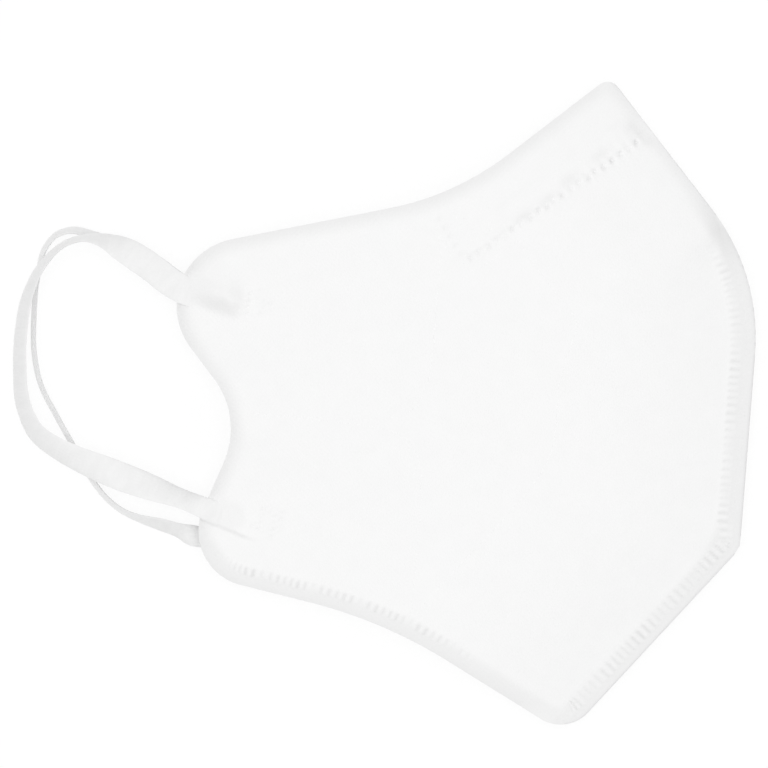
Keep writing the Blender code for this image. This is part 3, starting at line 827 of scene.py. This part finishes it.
def cover_outer(points):
    """Height of the cover's outer face above the fold plane."""
    inset, welded = seam_inset(points)
    folded = 1 - smooth(ROLL_RELEASE * welded)
    roll = FOLD_LIP * quarter_round(inset / FOLD_LIP_WIDTH)
    roll += FOLD_ROLL * eased_rise(inset / FOLD_ROLL_WIDTH)
    settled = (FOLD_LIP + FOLD_ROLL) * folded - FOLD_HEIGHT + FLANGE_HEIGHT * welded
    roll = roll * folded - settled * smooth((inset - FOLD_ROLL_WIDTH) / ROLL_FADE)
    height = FLANGE_HEIGHT * welded + crown(inset) + roll - droop(points)
    rim = RIM_DROP * (1 - eased_rise(nearest(points, EAR_AND_TOP)[0] / RIM_WIDTH))
    rim *= 1 - loop_entries(points)
    hem = HEM_DROP * (1 - eased_rise(nearest(points, HEM_EDGE)[0] / HEM_WIDTH))
    height -= np.maximum(rim, hem) * np.clip((height - RIM_STACK) / RIM_EASE, 0, 1)
    flange_edge = 1 - quarter_round(nearest(points, RIDGE)[0] / FLANGE_EDGE_ROUND)
    height -= FLANGE_EDGE_DROP * welded * flange_edge
    weld, weld_place = weld_strip(points, welded)
    hem_ribbed, hem_place = hem_strip(points)
    height += RIB_HEIGHT * weld * ribs(weld_place) + HEM_RIB_HEIGHT * hem_ribbed * ribs(hem_place)
    relief = pocket_relief(points) + loop_end_relief(points) - DASH_DEPTH * patch_dashes(points)
    height += relief * smooth(height / RELIEF_EASE)
    return np.maximum(height, COVER_LEAST_HEIGHT)


def cover_inner(points):
    """Height of the cover's inner face."""
    return np.maximum(cover_outer(points) - COVER_THICKNESS, COVER_FLOOR)


def pressed_and_shade_share(points):
    """How much to grey the cover: the welds' and hems' pressing, and painted shade in rib grooves,
    creases, hollows, the fold dent, the brow and the rims.
    """
    inset, welded = seam_inset(points)
    # The welded flange and the hem: their pressing, deepened with painted shade.
    flange = FLANGE_PRESSING_AND_SHADE * smooth(FLANGE_SHADE_ONSET * welded) * near(inset, FLANGE_SHADE_REACH)
    hem = HEM_PRESSING_AND_SHADE * near(nearest(points, HEM_EDGE)[0], HEM_SHADE_REACH)
    # Painted shade along the ear and top edges, where the rolled rim turns from the light.
    rim = PAINTED_RIM_SHADE * near(nearest(points, EAR_AND_TOP)[0], RIM_SHADE_REACH)
    # A soft blob of painted shade where the nose fold's roll runs into the weld.
    brow = PAINTED_BROW_SHADE * np.exp(-((points - BROW_WEDGE) ** 2).sum(1) / BROW_WEDGE_SIZE**2)
    brow *= near(nearest(points, RIDGE)[0], BROW_SHADE_REACH)
    weld, weld_place = weld_strip(points, welded)
    hem_ribbed, hem_place = hem_strip(points)
    # Painted shade in the grooves between ribs, lifted on their crests.
    painted_groove_shade = np.maximum(weld * (1 - ribs(weld_place)), hem_ribbed * (1 - ribs(hem_place)))
    crests = np.maximum(weld * ribs(weld_place), hem_ribbed * ribs(hem_place))
    plain = np.max([flange, hem, rim], axis=0) * (1 - CREST_CLEARING * crests) + brow
    # Painted shade in the fold's dent and in the hollows above the pocket row.
    dent = PAINTED_DENT_SHADE * np.exp(-((nearest(points, FOLD_DENT)[0] / FOLD_DENT_WIDTH) ** 2))
    hollow_and_dent_shade = np.maximum(dent, PAINTED_HOLLOW_SHADE * pocket_shaded_hollows(points))
    # Weld dots and dashes: their pressing, with painted shade in their pits.
    spots = np.maximum(weld_dots(points), PRESSED_DASH * patch_dashes(points))
    # Painted shade down the creases beside the loop ends, and where the bands run in under the cover.
    loop_ends = PAINTED_CREASE_SHADE * loop_end_creases(points) + PAINTED_ENTRY_SHADE * loop_entries(points)
    return np.max([plain, painted_groove_shade, spots, hollow_and_dent_shade, loop_ends], axis=0)


def refine(mesh, line, reach, cuts, lengthwise=False):
    """Subdivides a flat mesh near a line, or only those of its edges that run along the line."""
    edges = mesh.edges[:]
    ends = np.array([[vert.co[:2] for vert in edge.verts] for edge in edges])
    away = nearest(ends.reshape(-1, 2), line)[0].reshape(-1, 2)
    near = away.max(axis=1) < reach
    if lengthwise:
        lengths = np.linalg.norm(ends[:, 0] - ends[:, 1], axis=1)
        near &= np.abs(away[:, 0] - away[:, 1]) < lengths / 2
    chosen = [edge for edge, pick in zip(edges, near) if pick]
    bmesh.ops.subdivide_edges(mesh, edges=chosen, cuts=cuts, use_grid_fill=True)


cover_spunbond = nonwoven(
    "cover_spunbond", roughness=0.8, fibre_size=0.25 * MM, bond_pitch=0.9 * MM, bond_depth=0.6,
    bump=0.18, cloud_size=4 * MM, cloud_depth=0.012, pressed_and_shade_darkening=PRESSED_AND_SHADE_DARKENING)
welded_seam = np.array([point for point in RIDGE if point[1] < rounded("brow")[0][1]])
cover = flat_half(COVER_GRID, lambda points: np.zeros(len(points), bool))
refine(cover, welded_seam, *SEAM_REFINING, lengthwise=True)
refine(cover, HEM_EDGE, *HEM_REFINING, lengthwise=True)
for refining in POCKET_REFININGS:
    refine(cover, POCKET_LINE, *refining)
for x, y, radius in PATCHES_MM:
    middle_of_patch = np.array([(x - radius, y), (x + radius, y)]) * MM
    refine(cover, middle_of_patch, (radius + PATCH_MARGIN_MM) * MM, PATCH_CUTS)
for start, end, _, _ in LOOP_END_STEPS_MM:
    refine(cover, np.array([start, end]) * MM, *LOOP_END_REFINING)
thicken(cover, cover_outer, cover_inner)
# Each cover vertex stores its greying share: weld pressing and painted shade together.
pressed_and_shaded_layer = cover.verts.layers.float.new("pressed_and_shaded")
for vert, share in zip(cover.verts, pressed_and_shade_share(np.array([vert.co[:2] for vert in cover.verts]))):
    vert[pressed_and_shaded_layer] = share
add_sheet_pair("cover", cover, cover_spunbond)

# Lining: the soft inner sheet of each half, which lies against the face. It is white spunbond
# nonwoven cut to the mask's outline, and it is fused to the cover at the rims and at the seam.
LINING_DEPTH = 2.95 * MM
LINING_THICKNESS = 0.35 * MM
LINING_FLOOR = 0.02 * MM
LINING_SEAM_INSET = 0.5 * MM
LINING_RIM_GAP = 0.03 * MM
LINING_RIM_WIDTH = 3.0 * MM
LINING_GRID = (64, 90)


def lining_outer(points):
    """Height of the lining's outer side, which meets the cover along the rims."""
    loose = np.maximum(base_height(points) - LINING_DEPTH, LINING_FLOOR) + LINING_THICKNESS
    rim = np.minimum(nearest(points, EAR_AND_TOP)[0], nearest(points, HEM_EDGE)[0])
    gap = np.maximum(cover_inner(points) - LINING_RIM_GAP - loose, 0)
    return loose + gap * (1 - smooth(rim / LINING_RIM_WIDTH))


lining_spunbond = nonwoven(
    "lining_spunbond", roughness=0.85, fibre_size=0.3 * MM, bond_pitch=1.1 * MM, bond_depth=0.5,
    bump=0.25, cloud_size=5 * MM, cloud_depth=0.03)
lining = flat_half(LINING_GRID, lambda points: seam_inset(points)[0] < LINING_SEAM_INSET)
thicken(lining, lining_outer, lambda points: lining_outer(points) - LINING_THICKNESS)
add_sheet_pair("lining", lining, lining_spunbond)

# Ear loops: flat knitted elastic bands with fine cords along them, one on each half. Both ends are
# welded flat onto the ear lobes, and between them the band twists on edge round its far turn.
BAND_WIDTH = 6.5 * MM
BAND_THICKNESS = 1.1 * MM
BAND_CROWN = 0.6
BAND_CORDS = 8
BAND_GROOVE = 0.05
BAND_STEPS = 400
BAND_AROUND = 80
BAND_MERGE = 0.001 * MM
SEAT_GAP = 0.05 * MM
END_SINK = 0.55 * MM
END_PRESSING = 0.6
UPPER_END_REACH = (14.0 * MM, 25.0 * MM)
LOWER_END_REACH = (10.5 * MM, 21.5 * MM)
GATHERED_SHARE = 0.25
GATHERED_AT = 20.5 * MM
GATHERED_REACH = 8.0 * MM
SEATED = None
# Each loop's points from the upper lobe on: x, y, height over the fold, and lean in degrees.
RIGHT_LOOP_MM = (
    (-44.5, 17.0, SEATED, 0),
    (-55.5, 17.4, SEATED, 0),
    (-65.0, 18.9, SEATED, 0),
    (-74.5, 24.5, 5.2, 4),
    (-79.2, 26.9, 4.7, 26),
    (-83.8, 28.6, 4.2, 58),
    (-87.9, 28.9, 3.8, 74),
    (-92.2, 27.4, 3.5, 77),
    (-97.6, 21.5, 3.3, 70),
    (-100.2, 14.5, 3.2, 63),
    (-101.0, 6.5, 3.1, 60),
    (-100.6, -2.2, 3.1, 58),
    (-99.2, -10.0, 3.0, 54),
    (-95.6, -16.2, 2.9, 47),
    (-90.3, -19.5, 3.0, 38),
    (-85.0, -21.6, 3.4, 27),
    (-77.5, -24.0, 4.2, 2),
    (-68.5, -26.7, 4.7, -22),
    (-62.0, -29.0, 4.8, -30),
    (-57.6, -30.5, 6.2, -13),
    (-51.5, -32.2, 6.25, -6),
    (-44.5, -33.4, SEATED, 0),
    (-38.5, -33.8, SEATED, 0),
)
LEFT_LOOP_MM = (
    (-44.5, 17.0, SEATED, 0),
    (-55.5, 17.3, SEATED, 0),
    (-65.0, 18.9, SEATED, 0),
    (-74.4, 24.5, 5.2, 24),
    (-82.7, 28.3, 4.15, 63),
    (-87.5, 29.9, 4.0, 72),
    (-91.6, 30.6, 3.9, 76),
    (-95.3, 29.2, 3.9, 78),
    (-97.6, 26.0, 3.9, 79),
    (-98.7, 20.0, 3.9, 80),
    (-98.9, 10.0, 3.9, 80),
    (-98.2, 2.0, 3.9, 80),
    (-96.4, -4.6, 3.9, 80),
    (-91.9, -12.2, 3.9, 80),
    (-87.2, -19.2, 3.9, 80),
    (-82.5, -26.3, 3.9, 80),
    (-79.4, -29.7, 3.9, 80),
    (-75.6, -32.4, 3.9, 79),
    (-71.2, -34.0, 3.9, 73),
    (-66.2, -34.9, 4.1, 60),
    (-61.6, -35.7, 4.6, 46),
    (-57.6, -36.3, SEATED, 0),
    (-54.0, -36.2, SEATED, 0),
    (-47.0, -35.0, SEATED, 0),
    (-38.0, -32.2, SEATED, 0),
)
ELASTIC_ROUGHNESS = 0.85
ELASTIC_SHEEN = 0.7
STITCH_SCALE = 2.4
STITCH_WOBBLE = 1.5
STITCH_DETAIL = 2.0
FUZZ_SCALE = 40.0
FUZZ_DETAIL = 4.0
KNIT_BUMP = 0.2
KNIT_DEPTH = 0.1 * MM


def band_route(side, route_mm):
    """Smooth curve through a loop's points: middles, directions across the band and off its face."""
    points = []
    for x, y, distance, lean in route_mm:
        if distance is SEATED:
            seat = base_height(np.array([(x, y)]) * MM)[0]
            distance = (seat + SEAT_GAP + BAND_THICKNESS / 2) / MM
        points.append((x, y, FOLD_Z / MM + side * distance, lean))
    points = np.array(points)
    knots = np.concatenate([[0], np.cumsum(np.linalg.norm(np.diff(points[:, :3], axis=0), axis=1))])
    slopes = np.gradient(points, knots, axis=0)
    places = np.linspace(0, knots[-1], BAND_STEPS + 1)
    before = np.clip(np.searchsorted(knots, places, side="right") - 1, 0, len(knots) - 2)
    after = before + 1
    span = (knots[after] - knots[before])[:, None]
    share = (places - knots[before])[:, None] / span
    bow = share * (1 - share) * span * ((1 - share) * slopes[before] - share * slopes[after])
    curve = points[before] + (points[after] - points[before]) * smooth(share) + bow
    middles = curve[:, :3] * MM
    forward = np.gradient(middles, axis=0)
    forward /= np.linalg.norm(forward, axis=1)[:, None]
    inward = np.stack([-forward[:, 1], forward[:, 0], np.zeros(len(forward))], axis=1)
    inward /= np.linalg.norm(inward, axis=1)[:, None]
    upward = np.cross(forward, inward)
    lean = np.radians(curve[:, 3])[:, None]
    across = inward * np.cos(lean) + upward * np.sin(lean)
    return middles, across, np.cross(forward, across)


def laid_share(from_start, length):
    """1 where a band's ends are welded under the cover, easing to 0 where it hangs free."""
    upper = (UPPER_END_REACH[1] - from_start) / (UPPER_END_REACH[1] - UPPER_END_REACH[0])
    lower = (LOWER_END_REACH[1] - length + from_start) / (LOWER_END_REACH[1] - LOWER_END_REACH[0])
    return smooth(np.maximum(upper, lower))


def lay_ends(side, points, laid):
    """Lays a band's ends just under the cover's outer face."""
    near = laid > 0
    plan_points = points[near, :2]
    seat = FOLD_Z + side * (base_height(plan_points) + loop_end_relief(plan_points) - END_SINK)
    points[near, 2] += (seat - points[near, 2]) * laid[near]


def band_mesh(side, middles, across, off_face):
    """The band as a closed, crowned tube, gathered where its lower end is fused under the cover."""
    mesh = unit_grid(BAND_STEPS, BAND_AROUND)
    lengths = np.concatenate([[0], np.cumsum(np.linalg.norm(np.diff(middles, axis=0), axis=1))])
    knit_map = mesh.loops.layers.uv.new("knit")
    for face in mesh.faces:
        for loop in face.loops:
            place = lengths[grid_line(loop.vert.co.x, BAND_STEPS)]
            loop[knit_map].uv = (place / BAND_WIDTH, loop.vert.co.y + 0.5)
    station = np.array([grid_line(vert.co.x, BAND_STEPS) for vert in mesh.verts])
    turn = np.array([vert.co.y + 0.5 for vert in mesh.verts]) * 2
    even = 1 - 2 * np.abs(1 - turn)
    share = np.clip((np.sin(even * math.pi / 2) + even) / 2, -1, 1)
    groove = 1 - BAND_GROOVE * (0.5 - 0.5 * np.cos(math.pi * BAND_CORDS * (share + 1)))
    half = BAND_THICKNESS / 2 * (1 - share**2) ** BAND_CROWN * groove
    from_lower_end = lengths[-1] - lengths[station]
    gathered = GATHERED_SHARE * np.exp(-(((from_lower_end - GATHERED_AT) / GATHERED_REACH) ** 2))
    offset = (share * (1 - gathered) + side * gathered) * BAND_WIDTH / 2
    points = middles[station] + across[station] * offset[:, None]
    laid = laid_share(lengths, lengths[-1])
    lay_ends(side, points, laid[station])
    half *= 1 - END_PRESSING * laid[station]
    points += off_face[station] * (np.where(turn <= 1, half, -half))[:, None]
    for vert, point in zip(mesh.verts, points):
        vert.co = point
    bmesh.ops.remove_doubles(mesh, verts=mesh.verts[:], dist=BAND_MERGE)
    bmesh.ops.holes_fill(mesh, edges=[edge for edge in mesh.edges if edge.is_boundary])
    bmesh.ops.recalc_face_normals(mesh, faces=mesh.faces[:])
    path = middles.copy()
    lay_ends(side, path, laid)
    return mesh, lengths[-1], path


def knitted_elastic():
    """White knitted yarn: stitches along the cords and a faintly clouded white."""
    material, tree, shader = new_material("loop_elastic", ELASTIC_ROUGHNESS, sheen=ELASTIC_SHEEN)
    knit = node(tree, "TexCoord", {}).outputs["UV"]
    stitches = node(tree, "TexWave", {
        "Vector": knit, "Scale": STITCH_SCALE, "Distortion": STITCH_WOBBLE, "Detail": STITCH_DETAIL})
    fuzz = node(tree, "TexNoise", {"Vector": knit, "Scale": FUZZ_SCALE, "Detail": FUZZ_DETAIL})
    height = node(tree, "Math", {0: stitches.outputs["Fac"], 1: fuzz.outputs["Fac"]}, operation="ADD")
    relief = node(tree, "Bump", {
        "Height": height.outputs["Value"], "Strength": KNIT_BUMP, "Distance": KNIT_DEPTH})
    colour = mottled(tree, knit, slot_colour("loop_elastic"), cloud_size=0.3, depth=0.04)
    tree.links.new(colour, shader.inputs["Base Color"])
    tree.links.new(relief.outputs["Normal"], shader.inputs["Normal"])
    return material


elastic = knitted_elastic()
LOOPS = (
    ("right", 1, RIGHT_LOOP_MM, "right_cheek", "right_loop"),
    ("left", -1, LEFT_LOOP_MM, "left_half", "left_loop"),
)
for half, side, route, carrier, body in LOOPS:
    band, band_length, band_path = band_mesh(side, *band_route(side, route))
    loop_piece = add_piece(f"{half}_ear_band", band, elastic)
    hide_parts(f"{half}_ear_loop")
    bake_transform(loop_piece)

# Studio: a white table top, a wide soft lamp overhead, even white surroundings, and the camera
# looking straight down on the folded mask, turned as in the photograph.
PHOTO_WIDTH_PX = 768
PIXEL_SIZE = 0.228 * MM
PHOTO_MIDDLE = (-17.82 * MM, 1.08 * MM)
PHOTO_TURN = math.radians(4.5)
CAMERA_DISTANCE = 1.0
SENSOR_WIDTH = 36.0
FLOOR_SIZE = 6.0
LAMP_SIZE = 0.9
LAMP_HEIGHT = 1.4
LAMP_POWER = 8.5
SKY_LIGHT = 0.62
WHITE = (1.0, 1.0, 1.0, 1.0)
TABLE_COLOUR = (0.9, 0.9, 0.9, 1.0)
TABLE_SHADOWED = (0.12, 0.12, 0.12, 1.0)
TABLE_GLOW = 0.89


def add_table_top():
    """A plain white surface that shows white and keeps the mask's shadow."""
    mesh = bmesh.new()
    under = Matrix.Translation((0.0, 0.0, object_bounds()[0].z))
    bmesh.ops.create_grid(mesh, x_segments=1, y_segments=1, size=FLOOR_SIZE / 2, matrix=under)
    material = bpy.data.materials.new("table_white")
    material.use_nodes = True
    tree = material.node_tree
    tree.nodes.clear()
    path = node(tree, "LightPath", {})
    seen = node(tree, "Math", {0: path.outputs["Is Camera Ray"], 1: path.outputs["Is Glossy Ray"]},
                operation="MAXIMUM")
    seen = node(tree, "Math", {0: seen.outputs["Value"], 1: path.outputs["Is Transmission Ray"]},
                operation="MAXIMUM")
    plain = node(tree, "BsdfDiffuse", {"Color": TABLE_COLOUR})
    shadowed = node(tree, "BsdfDiffuse", {"Color": TABLE_SHADOWED})
    glow = node(tree, "Emission", {"Color": WHITE, "Strength": TABLE_GLOW})
    bright = node(tree, "AddShader", {0: shadowed.outputs["BSDF"], 1: glow.outputs["Emission"]})
    chosen = node(tree, "MixShader", {
        0: seen.outputs["Value"], 1: plain.outputs["BSDF"], 2: bright.outputs["Shader"]})
    node(tree, "OutputMaterial", {"Surface": chosen.outputs["Shader"]})
    table = add_piece("table_top", mesh, material)


def add_surroundings():
    """Even white light from all round, white where the camera sees past the table."""
    world = bpy.data.worlds.new("surroundings")
    bpy.context.scene.world = world
    world.use_nodes = True
    tree = world.node_tree
    path = node(tree, "LightPath", {})
    strength = node(tree, "MapRange", {
        "Value": path.outputs["Is Camera Ray"], "To Min": SKY_LIGHT, "To Max": 1.0})
    tree.nodes["Background"].inputs["Color"].default_value = WHITE
    tree.links.new(strength.outputs["Result"], tree.nodes["Background"].inputs["Strength"])


def add_lamp():
    """The wide soft lamp over the table."""
    data = bpy.data.lights.new("overhead_lamp", "AREA")
    data.shape = "DISK"
    data.size = LAMP_SIZE
    data.energy = LAMP_POWER
    lamp = bpy.data.objects.new("overhead_lamp", data)
    lamp.location = (PHOTO_MIDDLE[0], PHOTO_MIDDLE[1], LAMP_HEIGHT)
    lamp.visible_camera = False
    bpy.context.scene.collection.objects.link(lamp)


def add_camera():
    """The camera over the middle of the photograph's frame."""
    data = bpy.data.cameras.new("camera")
    data.sensor_width = SENSOR_WIDTH
    data.lens = SENSOR_WIDTH * CAMERA_DISTANCE / (PHOTO_WIDTH_PX * PIXEL_SIZE)
    camera = bpy.data.objects.new("camera", data)
    camera.location = (*PHOTO_MIDDLE, FOLD_Z + CAMERA_DISTANCE)
    camera.rotation_euler = (0.0, 0.0, PHOTO_TURN)
    bpy.context.scene.collection.objects.link(camera)
    bpy.context.scene.camera = camera


add_table_top()
add_surroundings()
add_lamp()
add_camera()
bpy.context.scene.view_settings.view_transform = "Standard"
